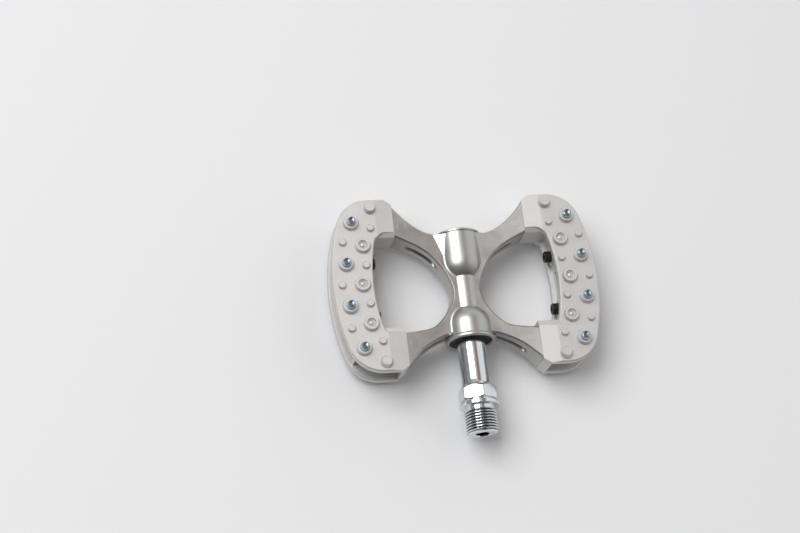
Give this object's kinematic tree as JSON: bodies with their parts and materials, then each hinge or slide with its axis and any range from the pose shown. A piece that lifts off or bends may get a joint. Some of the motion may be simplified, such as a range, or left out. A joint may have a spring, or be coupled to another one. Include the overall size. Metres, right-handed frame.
{
  "type": "bicycle platform pedal",
  "caption": "Right-hand bicycle platform pedal: forged four-arm body on a sealed spindle, with cast grip cages at front and rear, screw-in traction pins and reflectors.",
  "frame": {"origin": "on the spindle axis, at the flange's face that bears on the crank arm", "axes": "+Y outboard along the spindle, +X towards the front cage, +Z square to the platform"},
  "size_m": [0.12, 0.1084, 0.0254],
  "materials": {
    "forged_aluminium": "forged, polished and finely brushed",
    "cast_aluminium": "die-cast, bead-blasted matte",
    "rivet_aluminium": "headed flush and linished",
    "zinc_plated_steel": "zinc plated, bright",
    "black_oxide_steel": "black oxide, satin",
    "chromed_steel": "turned and chrome plated",
    "bearing_steel": "hardened and ground",
    "ball_steel": "polished balls",
    "cage_nylon": "moulded nylon",
    "shield_steel": "pressed sheet steel",
    "seal_rubber": "moulded nitrile rubber",
    "cap_aluminium": "turned and anodised clear",
    "reflector_black": "moulded, fine grain",
    "reflector_amber": "moulded acrylic with a prism back"
  },
  "bodies": {
    "platform": {"pedal_body": "forged_aluminium", "front_cage": "cast_aluminium", "rear_cage": "cast_aluminium", "cage_rivets": "rivet_aluminium", "front_pins_top": "zinc_plated_steel", "front_pins_bottom": "zinc_plated_steel", "rear_pins_top": "zinc_plated_steel", "rear_pins_bottom": "zinc_plated_steel", "front_reflector_screws": "black_oxide_steel", "rear_reflector_screws": "black_oxide_steel", "front_reflector_housing": "reflector_black", "rear_reflector_housing": "reflector_black", "front_reflector_lens": "reflector_amber", "rear_reflector_lens": "reflector_amber", "spindle_seal": "seal_rubber", "inboard_outer_race": "bearing_steel", "inboard_shields": "shield_steel", "outboard_outer_race": "bearing_steel", "outboard_shields": "shield_steel", "dust_cap": "cap_aluminium", "dust_cap_o_ring": "seal_rubber"},
    "spindle": {"spindle": "chromed_steel", "inboard_inner_race": "bearing_steel", "outboard_inner_race": "bearing_steel", "tab_washer": "shield_steel", "lock_nut": "black_oxide_steel"},
    "inboard_ball_set": {"inboard_balls": "ball_steel", "inboard_ball_cage": "cage_nylon"},
    "outboard_ball_set": {"outboard_balls": "ball_steel", "outboard_ball_cage": "cage_nylon"}
  },
  "joints": [
    {"name": "spindle_spin", "type": "hinge", "parent": "platform", "child": "spindle", "pos_m": [0, 0.0562, 0], "axis": [0, 1, 0], "continuous": true},
    {"name": "inboard_ball_orbit", "type": "hinge", "parent": "platform", "child": "inboard_ball_set", "pos_m": [0, 0.0353, 0], "axis": [0, 1, 0], "continuous": true},
    {"name": "outboard_ball_orbit", "type": "hinge", "parent": "platform", "child": "outboard_ball_set", "pos_m": [0, 0.0714, 0], "axis": [0, 1, 0], "continuous": true}
  ],
  "couplings": [
    {"joint": "inboard_ball_orbit", "follows": "spindle_spin", "ratio": 0.41379},
    {"joint": "outboard_ball_orbit", "follows": "spindle_spin", "ratio": 0.4}
  ]
}
